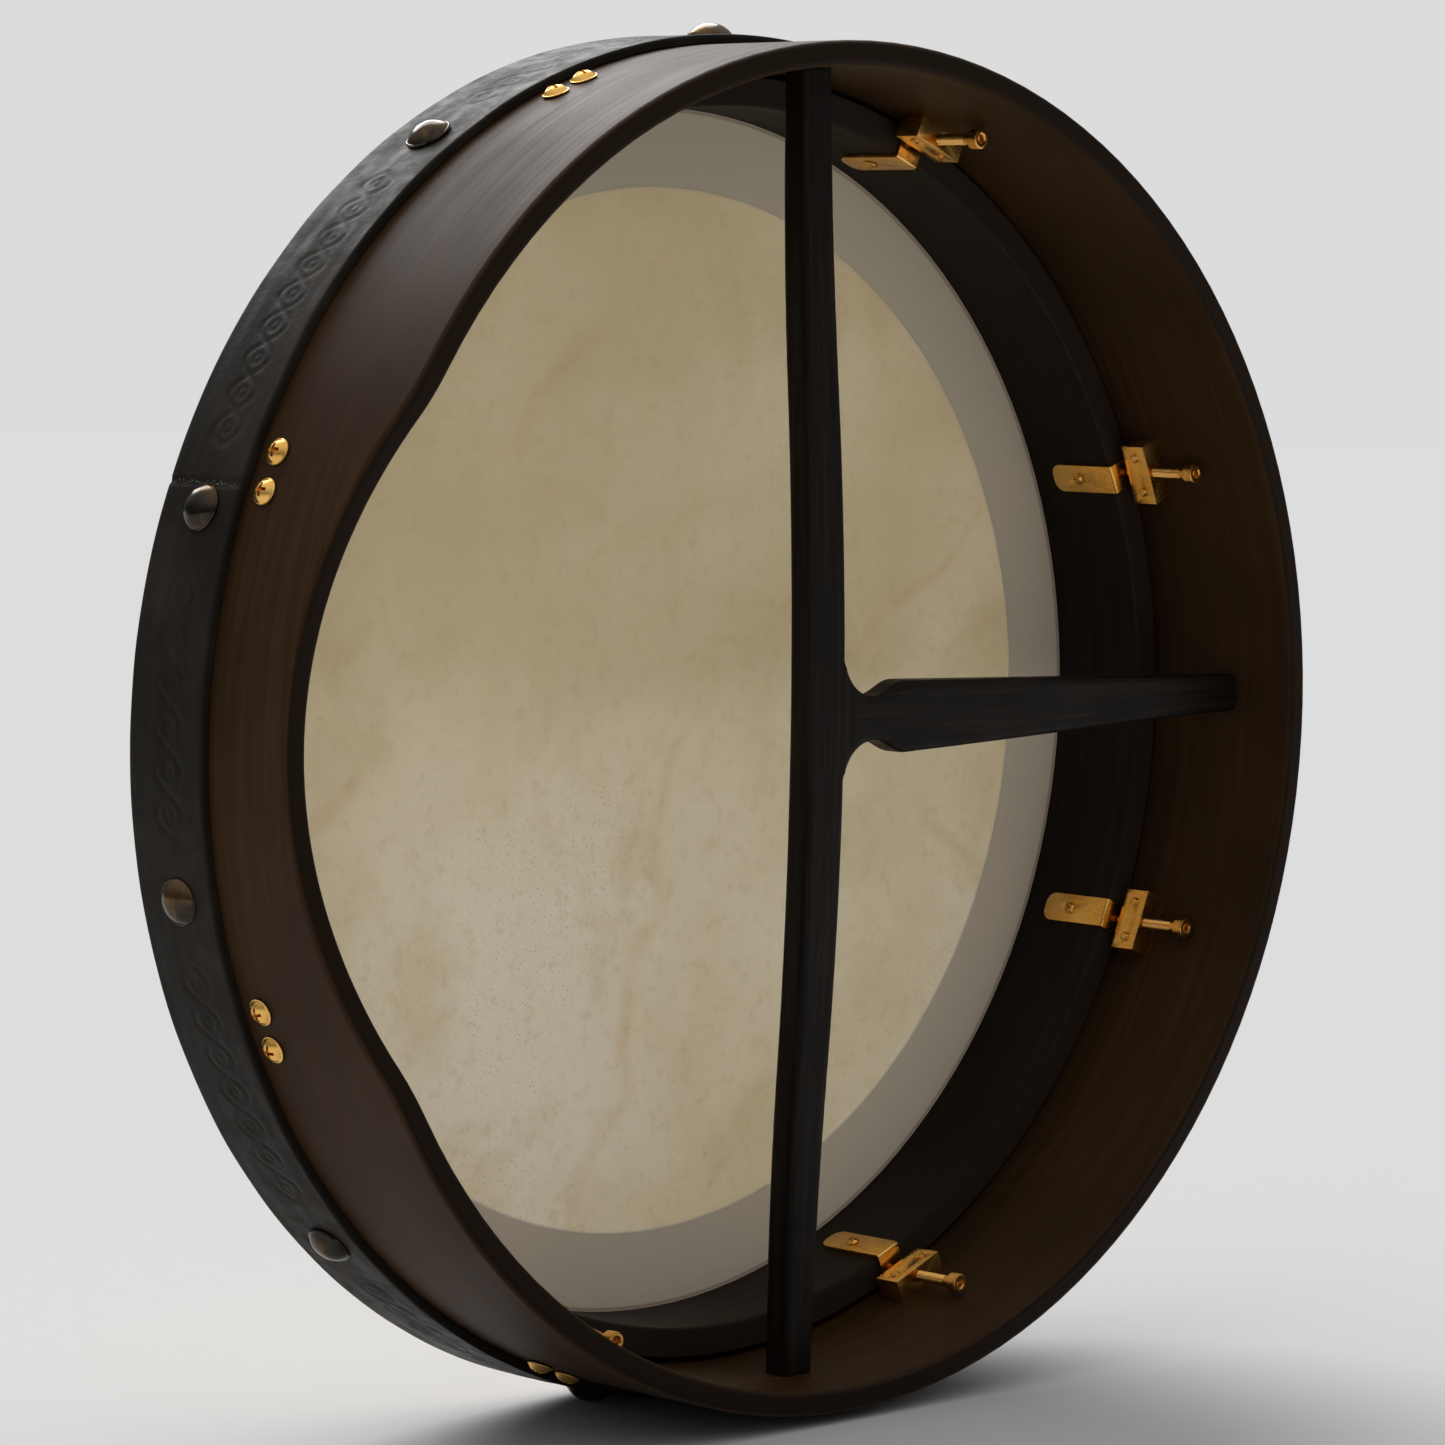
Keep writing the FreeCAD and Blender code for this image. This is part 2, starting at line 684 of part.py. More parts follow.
def arm_outline():
    """The arm seen along the drum's axis: a flared root, a neck, a shoulder and a tapered blade."""
    root, reach = size("bar_middle") - size("root_overlap"), size("shell_radius")
    neck, fillet = size("neck_half"), size("neck_fillet")
    shoulder, turn = size("shoulder_half"), size("shoulder_round")
    level, end = size("arm_height"), size("bar_end")
    hollow = (root + fillet, neck + fillet)
    crest_gap = math.sqrt((fillet + turn) ** 2 - (hollow[1] - shoulder + turn) ** 2)
    crest = (hollow[0] + crest_gap, shoulder - turn)
    share = fillet / (fillet + turn)
    join = tuple(h + (c - h) * share for h, c in zip(hollow, crest))
    slope = math.atan2(join[1] - hollow[1], join[0] - hollow[0])
    low = (slope - math.pi) / 2
    rise = (math.pi / 2 + slope + math.pi) / 2

    def around(centre, radius, angle):
        return (centre[0] + radius * math.cos(angle), centre[1] + radius * math.sin(angle))

    def at(point, side):
        return Vector(point[0], level + side * point[1], 0)

    flare_start, flare_middle = (root, hollow[1]), around(hollow, fillet, low)
    crest_middle, crest_top = around(crest, turn, rise), (crest[0], shoulder)
    tip = (reach, end)
    curves = [
        Part.LineSegment(at(flare_start, -1), at(flare_start, 1)),
        Part.LineSegment(at(tip, -1), at(tip, 1)),
    ]
    for side in (-1, 1):
        curves += [
            Part.Arc(at(flare_start, side), at(flare_middle, side), at(join, side)),
            Part.Arc(at(join, side), at(crest_middle, side), at(crest_top, side)),
            Part.LineSegment(at(crest_top, side), at(tip, side)),
        ]
    return curves


def t_bar_arm(space, post):
    """The arm: from the middle of the post to the shell on the +X side."""
    body = new_body("arm_arch")
    arched_blank(body, "XY_Plane", both_ways=False)
    face = new_body("arm_face")
    sketch = new_sketch(face, "XZ_Plane")
    add_outline(sketch, arm_outline())
    pad(face, sketch, "sizes.bar_blank_depth")
    doc.recompute()
    bar = boolean("Common", "arm_blank", body, face)
    fitted = rounded_bar("arm_fitted", bar, space, ARM_EDGE)
    return boolean("Cut", "t_bar_arm", fitted, post)


# ---- The drum


def build():
    """Make every sub-part and return them by node name."""
    fill_sheet()
    tacks = dome_tacks()
    screws = block_screws()
    hoop_screws = bracket_screws()
    drilled = boolean("Cut", "drilled_shell", shell_blank(), screws)
    space = inside_of_shell()
    post = t_bar_post(space)
    parts = [
        boolean("Cut", "shell", drilled, tacks),
        boolean("Cut", "drumhead", skin_blank(), tacks),
        damping_tape(),
        boolean("Cut", "leather_band", band_blank(), tacks),
        tacks,
        post,
        t_bar_arm(space, post),
        screws,
        boolean("Cut", "tuning_hoop", tuning_hoop_blank(), hoop_screws),
        hoop_screws,
    ]
    for number in range(1, TUNERS + 1):
        parts += [tuner_block(number), hoop_bracket(number), tuner_bolt(number)]
    doc.recompute()
    return parts


def check(parts):
    """Stop if anything in the document has failed or any sub-part is not a sound shape."""
    for item in doc.Objects:
        if {"Invalid", "Error"} & set(item.State):
            raise RuntimeError(f"{item.Name} is {item.State}")
    for part in parts:
        if part.Shape.isNull() or not part.Shape.isValid():
            raise RuntimeError(f"{part.Label} has no sound shape")


def export(parts):
    os.makedirs("parts", exist_ok=True)
    for part in parts:
        part.Shape.exportStep(f"parts/{part.Label}.step")
        box = part.Shape.BoundBox
        print(f"{part.Label}: {len(part.Shape.Solids)} solids, {part.Shape.Volume:.0f} mm3, {box}")


drum_parts = build()
check(drum_parts)
export(drum_parts)
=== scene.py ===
"""The looks of a tunable bodhran: stained wood, goat skin, black leather and gilt tuning gear.

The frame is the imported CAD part: metres, +Y out of the playing face, +Z up, the origin in the middle of
the face. Lengths here are in millimetres and become metres when a mesh is made. Angles are measured
about the drum's axis, from +X towards +Z, and "back" is the distance behind the playing face.
"""

import math
import random

import bmesh
import bpy
from mathutils import Matrix, Vector, noise


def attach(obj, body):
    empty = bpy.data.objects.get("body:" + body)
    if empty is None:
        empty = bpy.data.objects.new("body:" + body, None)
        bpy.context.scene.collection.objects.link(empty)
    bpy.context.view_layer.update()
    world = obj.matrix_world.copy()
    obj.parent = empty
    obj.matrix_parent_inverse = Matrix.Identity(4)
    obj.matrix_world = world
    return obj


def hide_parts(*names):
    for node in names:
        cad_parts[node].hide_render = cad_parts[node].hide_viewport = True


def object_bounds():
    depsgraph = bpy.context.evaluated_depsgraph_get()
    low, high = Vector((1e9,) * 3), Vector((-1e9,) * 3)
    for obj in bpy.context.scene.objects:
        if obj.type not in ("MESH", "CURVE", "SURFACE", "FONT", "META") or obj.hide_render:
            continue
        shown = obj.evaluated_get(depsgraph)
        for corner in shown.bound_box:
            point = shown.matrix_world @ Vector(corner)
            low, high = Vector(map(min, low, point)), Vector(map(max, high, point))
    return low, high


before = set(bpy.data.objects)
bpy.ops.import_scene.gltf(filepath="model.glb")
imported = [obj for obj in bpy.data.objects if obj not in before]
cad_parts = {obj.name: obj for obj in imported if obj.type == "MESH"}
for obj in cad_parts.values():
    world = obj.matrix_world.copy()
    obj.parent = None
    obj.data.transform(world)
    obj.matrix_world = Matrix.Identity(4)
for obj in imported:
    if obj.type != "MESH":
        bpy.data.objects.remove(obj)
size_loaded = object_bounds()

MM = 0.001
rng = random.Random(7)

# Sizes that the pieces below are built to, in millimetres and degrees. They are the CAD part's own, with
# three exceptions: the band's front edge lies 2.5 mm further forward, to hide the skin as in the photo; the
# tips of the block screws stand a little prouder; and the CAD has no seam.
SHELL = 228.6
SKIN_OUT = 229.7
SKIN_LAP = 30.0
TAPE = (181.0, 213.0)
BAND_OUT = 231.9
BAND_BACK = (4.5, 40.3)
TACK_ANGLES = (90, 123, 161, 192, 225, 258, 290, 321, 352, 25, 57)
TACK_BACK = 24.0
TACK_RADIUS, TACK_RISE = 7.9, 4.4
SEAM_ANGLE = 158.9
TUNER_ANGLES = [22.5 + 45 * n for n in range(8)]
BLOCK_SCREW_BACK, BLOCK_SCREW_SIDE = 49.1, 6.65
BLOCK_SCREW_TIP = 211.0
BRACKET_FACE, BRACKET_SCREW_BACK = 206.4, 24.0
BOLT_AXIS, BOLT_TIP_BACK = 215.4, 41.4
BAR_BACK, BAR_ARCH, BAR_THICK = 71.3, 9.0, 10.2


# ---- Meshes


def spot(angle, radius, back):
    """A point by its angle about the drum's axis in degrees, its radius and its distance back."""
    turn = math.radians(angle)
    return Vector((radius * math.cos(turn), -back, radius * math.sin(turn)))


def loft(rings, closed=False):
    """Vertices and faces that join rings of equal length, closed on itself or capped at its ends."""
    count = len(rings[0])
    verts = [point for ring in rings for point in ring]
    faces = []
    for row in range(len(rings) if closed else len(rings) - 1):
        here, there = row * count, (row + 1) % len(rings) * count
        for n in range(count):
            after = (n + 1) % count
            faces.append((here + n, here + after, there + after, there + n))
    if not closed:
        faces.append(tuple(reversed(range(count))))
        faces.append(tuple(range(len(verts) - count, len(verts))))
    return verts, faces


def circle(radius, height, steps):
    turns = (math.tau * n / steps for n in range(steps))
    return [Vector((radius * math.cos(turn), radius * math.sin(turn), height)) for turn in turns]


def lathe(profile, steps=40):
    """A turned shape about Z from (radius, height) pairs, from the bottom up."""
    return loft([circle(radius, height, steps) for radius, height in profile])


def joined(shapes):
    """Several (vertices, faces) shapes as one."""
    verts, faces = [], []
    for some_verts, some_faces in shapes:
        start = len(verts)
        verts += some_verts
        faces += [tuple(start + n for n in face) for face in some_faces]
    return verts, faces


def placed(shape, matrix):
    """A shape moved by a matrix."""
    return [matrix @ point for point in shape[0]], shape[1]


def raw_object(name, shape):
    """An object whose mesh is a shape in millimetres."""
    mesh = bpy.data.meshes.new(name)
    mesh.from_pydata([tuple(point * MM) for point in shape[0]], [], shape[1])
    mesh.update()
    obj = bpy.data.objects.new(name, mesh)
    bpy.context.collection.objects.link(obj)
    return obj


def applied(obj):
    """Replace an object's mesh by what its modifiers make of it."""
    made = bpy.data.meshes.new_from_object(obj.evaluated_get(bpy.context.evaluated_depsgraph_get()))
    obj.modifiers.clear()
    obj.data = made
    return obj


def finish_mesh(obj, sharp=35.0):
    """Point the faces outwards and shade the mesh smooth except over edges sharper than sharp degrees."""
    work = bmesh.new()
    work.from_mesh(obj.data)
    bmesh.ops.recalc_face_normals(work, faces=work.faces)
    for face in work.faces:
        face.smooth = True
    for edge in work.edges:
        edge.smooth = len(edge.link_faces) == 2 and edge.calc_face_angle(0) < math.radians(sharp)
    work.to_mesh(obj.data)
    work.free()


def piece(obj, body, slot, material, *nodes, sharp=35.0):
    """Finish a new piece: its shading, its material, the body it rides, and the CAD nodes it stands for. Its
    slot argument is not used.
    """
    finish_mesh(obj, sharp)
    obj.data.materials.clear()
    obj.data.materials.append(material)
    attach(obj, body)
    if nodes:
        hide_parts(*nodes)
    return obj


def facing(angle, radius, back, inwards=False, side=0.0, spin=0.0):
    """The matrix that seats a turned shape on a round wall, its +Z along the radius."""
    turn = math.radians(angle)
    out = Vector((math.cos(turn), 0, math.sin(turn)))
    round_way = Vector((-math.sin(turn), 0, math.cos(turn)))
    up = -out if inwards else out
    along = Vector((0, 1, 0))
    place = spot(angle, radius, back) + round_way * side
    axes = Matrix((up.cross(along) if inwards else along.cross(up), along, up)).transposed()
    return Matrix.Translation(place) @ axes.to_4x4() @ Matrix.Rotation(spin, 4, "Z")


# ---- Materials


class Paint:
    """A small builder for procedural materials on Principled BSDF, in the part's own metres."""

    def __init__(self, name, settings):
        self.material = bpy.data.materials.new(name)
        self.material.use_nodes = True
        self.nodes = self.material.node_tree.nodes
        self.links = self.material.node_tree.links
        self.shader = self.nodes["Principled BSDF"]
        coordinates = self.nodes.new("ShaderNodeTexCoord").outputs
        self.place, self.outwards = coordinates["Object"], coordinates["Normal"]
        for socket, value in settings.items():
            self.shader.inputs[socket].default_value = value

    def put(self, value, socket):
        """Link an output to a socket, or set the socket to a plain value."""
        if isinstance(value, bpy.types.NodeSocket):
            self.links.new(value, socket)
        elif value is not None:
            socket.default_value = value

    def math(self, operation, *values):
        node = self.nodes.new("ShaderNodeMath")
        node.operation = operation
        for value, socket in zip(values, node.inputs):
            self.put(value, socket)
        return node.outputs[0]

    def parts(self, vector=None):
        """The x, y and z of a vector, which is the place unless another is given."""
        node = self.nodes.new("ShaderNodeSeparateXYZ")
        self.links.new(vector or self.place, node.inputs[0])
        return node.outputs

    def vector(self, x, y, z):
        node = self.nodes.new("ShaderNodeCombineXYZ")
        for value, socket in zip((x, y, z), node.inputs):
            self.put(value, socket)
        return node.outputs[0]

    def scaled(self, x, y, z):
        """The place, stretched along each axis."""
        node = self.nodes.new("ShaderNodeMapping")
        self.links.new(self.place, node.inputs["Vector"])
        node.inputs["Scale"].default_value = (x, y, z)
        return node.outputs[0]

    def across_axis(self, one, other):
        """The dot product of two vectors' x and z parts."""
        return self.math(
            "ADD",
            self.math("MULTIPLY", one[0], other[0]),
            self.math("MULTIPLY", one[2], other[2]),
        )

    def radius(self):
        """Distance from the drum's axis, in metres."""
        place = self.parts()
        return self.math("SQRT", self.across_axis(place, place))

    def noise(self, scale, detail=4.0, roughness=0.55, at=None, distortion=0.0):
        node = self.nodes.new("ShaderNodeTexNoise")
        self.links.new(at or self.place, node.inputs["Vector"])
        node.inputs["Scale"].default_value = scale
        node.inputs["Detail"].default_value = detail
        node.inputs["Roughness"].default_value = roughness
        node.inputs["Distortion"].default_value = distortion
        return node.outputs[0]

    def cells(self, scale, feature="F1", at=None):
        node = self.nodes.new("ShaderNodeTexVoronoi")
        node.feature = feature
        self.links.new(at or self.place, node.inputs["Vector"])
        node.inputs["Scale"].default_value = scale
        return node.outputs["Distance"]

    def range(self, value, low, high, to_low=0.0, to_high=1.0):
        """A value eased from low..high to to_low..to_high, and held at the ends."""
        node = self.nodes.new("ShaderNodeMapRange")
        node.interpolation_type = "SMOOTHSTEP"
        for item, socket in zip((value, low, high, to_low, to_high), node.inputs):
            self.put(item, socket)
        return node.outputs[0]

    def mix(self, share, one, other):
        """One colour turned into the other by a share."""
        node = self.nodes.new("ShaderNodeMix")
        node.data_type = "RGBA"
        self.put(share, node.inputs["Factor"])
        # The node's seventh and eighth sockets are its two colours, and its third output is theirs.
        for colour, socket in ((one, node.inputs[6]), (other, node.inputs[7])):
            self.put(colour if isinstance(colour, bpy.types.NodeSocket) else (*colour, 1), socket)
        return node.outputs[2]

    def bump(self, height, distance, strength=1.0, over=None):
        node = self.nodes.new("ShaderNodeBump")
        node.inputs["Strength"].default_value = strength
        node.inputs["Distance"].default_value = distance
        self.links.new(height, node.inputs["Height"])
        if over:
            self.links.new(over, node.inputs["Normal"])
        return node.outputs[0]

    def finish(self, colour, roughness=None, normal=None):
        """Wire the shader up, and hand the material over."""
        self.put(colour, self.shader.inputs["Base Color"])
        self.put(roughness, self.shader.inputs["Roughness"])
        self.put(normal, self.shader.inputs["Normal"])
        return self.material


def hoop_wood(name, dark, light, gloss, edge_tone_and_highlight):
    """Stained wood bent into a hoop: its grain runs round the drum, under satin lacquer.

    The sawn edges face neither in nor out. They are the dark colour times the edge factor, which makes them
    darker below 1 and paints a highlight on them above 1.
    """
    paint = Paint(name, {"Specular IOR Level": gloss})
    place, radius = paint.parts(), paint.radius()
    x, y, z = (paint.math("MULTIPLY", part, scale) for part, scale in zip(place, (9.0, 260.0, 9.0)))
    along = paint.vector(x, paint.math("ADD", y, paint.math("MULTIPLY", radius, 420.0)), z)
    grain = paint.noise(1.0, 6.0, 0.6, along, 0.4)
    pores = paint.noise(3.1, 3.0, 0.7, along)
    cloudy = paint.noise(11.0, 3.0)
    stain = paint.mix(paint.range(grain, 0.32, 0.74), dark, light)
    deeper = tuple(channel * 0.72 for channel in dark)
    colour = paint.mix(paint.range(cloudy, 0.42, 0.7, 0.0, 0.55), stain, deeper)
    outwards = paint.across_axis(place, paint.parts(paint.outwards))
    wall = paint.math("DIVIDE", paint.math("ABSOLUTE", outwards), radius)
    # The edges that face neither in nor out are darker on the shell. On the hoop they are painted lighter,
    # as a highlight.
    colour = paint.mix(paint.range(wall, 0.45, 0.9), tuple(channel * edge_tone_and_highlight for channel in dark), colour)
    roughness = paint.range(paint.math("ADD", grain, cloudy), 0.7, 1.3, 0.43, 0.56)
    normal = paint.bump(pores, 0.00012, 0.35, paint.bump(grain, 0.0003, 0.25))
    return paint.finish(colour, roughness, normal)


def bar_wood():
    """Ebonised wood: nearly black, with long faint grain up the post and along the arm."""
    paint = Paint("ebonised_wood", {"Specular IOR Level": 0.085})
    x, _, _ = paint.parts()
    up = paint.noise(1.0, 5.0, 0.6, paint.scaled(420.0, 260.0, 9.0), 0.3)
    along = paint.noise(1.0, 5.0, 0.6, paint.scaled(9.0, 260.0, 420.0), 0.3)
    on_arm = paint.range(x, 0.008, 0.022)
    on_post = paint.math("SUBTRACT", 1.0, on_arm)
    grain = paint.math(
        "ADD",
        paint.math("MULTIPLY", up, on_post),
        paint.math("MULTIPLY", along, on_arm),
    )
    colour = paint.mix(paint.range(grain, 0.4, 0.7), (0.0075, 0.0058, 0.0045), (0.017, 0.012, 0.008))
    roughness = paint.range(paint.noise(35.0), 0.35, 0.7, 0.36, 0.5)
    return paint.finish(colour, roughness, paint.bump(grain, 0.0003, 0.3))


def goat_skin():
    """Goat skin: translucent and clouded, with veins, hair roots, the painted shadow of the tape behind it,
    painted shade towards its top and a painted shade line where the tuning hoop meets it.
    """
    paint = Paint(
        "goat_skin",
        {
            "Subsurface Scale": 0.004,
            "Subsurface Radius": (1.0, 0.85, 0.65),
            "Specular IOR Level": 0.25,
        },
    )
    clouds = paint.noise(5.5, 5.0, 0.55)
    patches = paint.noise(19.0, 4.0, 0.6, distortion=0.5)
    hide = paint.mix(paint.range(clouds, 0.36, 0.66), (0.70, 0.62, 0.49), (0.92, 0.83, 0.72))
    hide = paint.mix(paint.range(patches, 0.47, 0.74, 0.0, 0.42), hide, (0.56, 0.47, 0.34))
    pores = paint.noise(150.0, 5.0, 0.7)
    hide = paint.mix(paint.range(pores, 0.5, 0.72, 0.0, 0.28), hide, (0.47, 0.39, 0.26))
    # It is painted darker and browner towards its top, as shade.
    height = paint.range(paint.parts()[2], -0.2, 0.22, 0.0, 0.6)
    hide = paint.mix(height, hide, (0.50, 0.44, 0.31))
    # Veins follow the edges of a few large, bent cells.
    bent = paint.nodes.new("ShaderNodeVectorMath")
    bent.operation = "MULTIPLY_ADD"
    wander = paint.nodes.new("ShaderNodeTexNoise")
    wander.inputs["Scale"].default_value = 9.0
    paint.links.new(paint.place, wander.inputs["Vector"])
    paint.links.new(wander.outputs["Color"], bent.inputs[0])
    bent.inputs[1].default_value = (0.09, 0.09, 0.09)
    paint.links.new(paint.place, bent.inputs[2])
    vein = paint.cells(4.2, "DISTANCE_TO_EDGE", bent.outputs[0])
    faded = paint.range(paint.noise(7.0), 0.45, 0.62)
    veins = paint.math("MULTIPLY", paint.range(vein, 0.0, 0.02, 0.26, 0.0), faded)
    hide = paint.mix(veins, hide, (0.52, 0.33, 0.16))
    # Hair roots gather in a few patches.
    roots = paint.range(paint.cells(520.0), 0.1, 0.24, 1.0, 0.0)
    crowd = paint.range(paint.noise(6.0, 2.0, at=paint.scaled(1.0, 1.0, 1.4)), 0.52, 0.68)
    hairs = paint.math("MULTIPLY", paint.math("MULTIPLY", roots, crowd), 0.42)
    hide = paint.mix(hairs, hide, (0.3, 0.2, 0.1))
    # The tape on the playing face stops the light, so its shadow is painted into the skin as a ring, darker
    # towards the top as painted shade. Where the tuning hoop's edge meets the skin, a thin brown line of
    # painted shade is drawn.
    radius = paint.radius()
    # Mask of the tape's painted shadow.
    ring = paint.range(radius, 0.1800, 0.1820)
    from_hoop_contact = paint.math("ABSOLUTE", paint.math("SUBTRACT", radius, 0.2073))
    edge = paint.range(from_hoop_contact, 0.0, 0.0011, 0.5, 0.0)
    # The ring's colour is painted darker towards its top, as shade.
    shaded = paint.mix(height, (0.95, 0.80, 0.62), (0.66, 0.58, 0.40))
    hide = paint.mix(paint.math("MULTIPLY", ring, 0.93), hide, shaded)
    paint.put(paint.range(ring, 0.0, 1.0, 0.55, 0.1), paint.shader.inputs["Subsurface Weight"])
    # The painted shade line where the tuning hoop meets the skin.
    hide = paint.mix(edge, hide, (0.2, 0.06, 0.03))
    pebble = paint.noise(900.0, 3.0, 0.6)
    normal = paint.bump(pebble, 0.00008, 0.3, paint.bump(clouds, 0.002, 0.2))
    return paint.finish(hide, paint.range(patches, 0.3, 0.7, 0.46, 0.64), normal)


def cloth_tape():
    """Grey damping tape: a fine woven face with faint creases."""
    paint = Paint("grey_tape", {"Specular IOR Level": 0.3})
    x, _, z = paint.parts()
    warp = paint.math("SINE", paint.math("MULTIPLY", x, 7000.0))
    weft = paint.math("SINE", paint.math("MULTIPLY", z, 7000.0))
    weave = paint.math("MULTIPLY", warp, weft)
    creases = paint.noise(60.0, 5.0, 0.7)
    colour = paint.mix(paint.range(creases, 0.35, 0.7), (0.10, 0.10, 0.10), (0.16, 0.16, 0.155))
    normal = paint.bump(weave, 0.00008, 0.4, paint.bump(creases, 0.0006, 0.3))
    return paint.finish(colour, paint.range(creases, 0.3, 0.7, 0.5, 0.7), normal)


def leather():
    """Black leather: a pebbled grain, dull and a little worn on its high places."""
    paint = Paint("black_leather", {"Specular IOR Level": 0.08})
    pebbles = paint.cells(620.0, "SMOOTH_F1")
    folds = paint.noise(140.0, 4.0, 0.65)
    wear = paint.noise(23.0, 5.0, 0.6)
    colour = paint.mix(paint.range(wear, 0.45, 0.75), (0.016, 0.0128, 0.0096), (0.031, 0.0245, 0.018))
    roughness = paint.range(paint.math("ADD", wear, folds), 0.75, 1.3, 0.42, 0.62)
    normal = paint.bump(pebbles, 0.00016, 0.35, paint.bump(folds, 0.0003, 0.3))
    return paint.finish(colour, roughness, normal)


def frayed_leather():
    """The cut fibres that show at the band's butt seam."""
    paint = Paint("leather_fray", {"Specular IOR Level": 0.2})
    tufts = paint.noise(1.0, 4.0, 0.7, paint.scaled(500.0, 1500.0, 500.0))
    colour = paint.mix(paint.range(tufts, 0.4, 0.62), (0.03, 0.027, 0.024), (0.42, 0.39, 0.34))
    return paint.finish(colour, paint.range(tufts, 0.3, 0.7, 0.7, 0.95), paint.bump(tufts, 0.0004, 0.6))


def bronze():
    """Antique bronze: a dark, glossy patina that is rubbed warmer in places."""
    paint = Paint("antique_bronze", {"Metallic": 0.9, "Specular IOR Level": 0.6})
    rubbed = paint.noise(75.0, 4.0, 0.6)
    specks = paint.noise(900.0, 2.0)
    colour = paint.mix(paint.range(rubbed, 0.42, 0.72), (0.032, 0.027, 0.022), (0.15, 0.085, 0.033))
    roughness = paint.range(paint.math("ADD", rubbed, specks), 0.7, 1.3, 0.12, 0.26)
    return paint.finish(colour, roughness, paint.bump(specks, 0.00004, 0.25))


def gilt(name, deep, bright, low, high):
    """Gilt metal: satin, with fine scratches, and deeper where the lacquer has gathered."""
    paint = Paint(name, {"Metallic": 1.0})
    tint = paint.noise(70.0, 2.0, 0.5)
    scratches = paint.noise(1.0, 3.0, 0.6, paint.scaled(2600.0, 300.0, 2600.0))
    colour = paint.mix(paint.range(tint, 0.3, 0.8), deep, bright)
    roughness = paint.range(paint.math("ADD", tint, scratches), 0.7, 1.3, low, high)
    return paint.finish(colour, roughness, paint.bump(scratches, 0.00001, 0.12))


def floor_paper():
    """The pale studio floor."""
    paint = Paint("studio_floor", {"Roughness": 0.9, "Specular IOR Level": 0.0})
    fine = paint.noise(60.0, 3.0)
    return paint.finish(paint.mix(fine, (0.625, 0.625, 0.625), (0.635, 0.635, 0.635)))


SHELL_WOOD = hoop_wood("shell_wood", (0.034, 0.0170, 0.0066), (0.056, 0.0280, 0.0110), 0.075, 0.4)
# The hoop's edges are painted 2.2 times lighter, as a highlight.
HOOP_WOOD = hoop_wood("hoop_wood", (0.013, 0.0088, 0.0058), (0.022, 0.0145, 0.009), 0.07, 2.2)
BAR_WOOD = bar_wood()
SKIN = goat_skin()
GREY_TAPE = cloth_tape()
LEATHER = leather()
FRAY = frayed_leather()
BRONZE = bronze()
BRASS = gilt("gilt_brass", (0.86, 0.46, 0.10), (0.98, 0.60, 0.18), 0.24, 0.34)
STEEL = gilt("gilt_steel", (0.76, 0.37, 0.08), (0.90, 0.51, 0.15), 0.22, 0.32)


# ---- Skin


def drumhead():
    """The skin, pulled flat and turned over the shell, pleated where it turns, with the tape's recess."""
    turn, thick = 6.0, 1.0
    flat_edge = SKIN_OUT - turn
    outside = [(radius, 0.0) for radius in (2, 40, 80, 120, 150, 175, TAPE[0])]
    outside += [(TAPE[0] + 0.05, 0.4), (196.0, 0.4), (TAPE[1] - 0.05, 0.4), (TAPE[1], 0.0), (flat_edge, 0.0)]
    inside = [(radius, thick) for radius in (2, 40, 80, 120, 150, 175, 196, 213, flat_edge)]
    for step in range(1, 9):
        angle = math.radians(90 * step / 8)
        for side, radius in ((outside, turn), (inside, turn - thick)):
            side.append((flat_edge + radius * math.sin(angle), turn - radius * math.cos(angle)))
    outside += [(SKIN_OUT, back) for back in (9, 14, 20, 25, SKIN_LAP - 0.2)] + [(SKIN_OUT - 0.2, SKIN_LAP)]
    inside += [(SKIN_OUT - thick, back) for back in (9, 14, 20, 25, SKIN_LAP)]
    rings = []
    for radius, back in outside + list(reversed(inside)):
        ring = []
        for n in range(720):
            angle = n / 2
            on_turn = max(0.0, min(1.0, (radius - flat_edge) / 2)) * max(0.0, 1 - back / 14)
            pleat = noise.noise(spot(angle, 26.0, 0)) * 0.16 * on_turn
            ring.append(spot(angle, radius + pleat * (1 if (radius, back) in outside else 0), back))
        rings.append(ring)
    skin = raw_object("drumhead_skin", loft(rings))
    piece(skin, "frame", "goat_skin", SKIN, "drumhead", sharp=60)
    # The flat cut is a disc: the face, the quarter turn over the shell and the lap down its outside.
    return skin


# ---- Leather band


def pattern_depth(angle, back):
    """Depth of the band's blind tooling: a plain two-strand braid in each span between two tacks."""
    ends = sorted(TACK_ANGLES)
    start = max((end for end in ends if end <= angle % 360), default=ends[-1] - 360)
    stop = min((end for end in ends if end > start), default=ends[0] + 360)
    to_mm = math.radians(1) * BAND_OUT
    along, span = (angle % 360 - start) * to_mm, (stop - start) * to_mm
    margin = 21.0
    if not margin <= along <= span - margin:
        return 0.0
    crossings = max(2, round((span - 2 * margin) / 13.0))
    phase = math.pi * crossings * (along - margin) / (span - 2 * margin)
    height, mid = back - TACK_BACK, 6.2 * math.sin(phase)
    slope = 6.2 * math.cos(phase) * math.pi * crossings / (span - 2 * margin)
    lean = math.sqrt(1 + slope * slope)
    strands = (abs(height - mid) / lean, abs(height + mid) / lean)
    depth = max(math.exp(-((gap / 0.75) ** 2)) for gap in strands)
    eye = (phase / math.pi) % 1 - 0.5
    dot = math.hypot(eye * (span - 2 * margin) / crossings, height)
    depth = max(depth, math.exp(-(((dot - 1.9) / 0.6) ** 2)))
    return 0.34 * depth


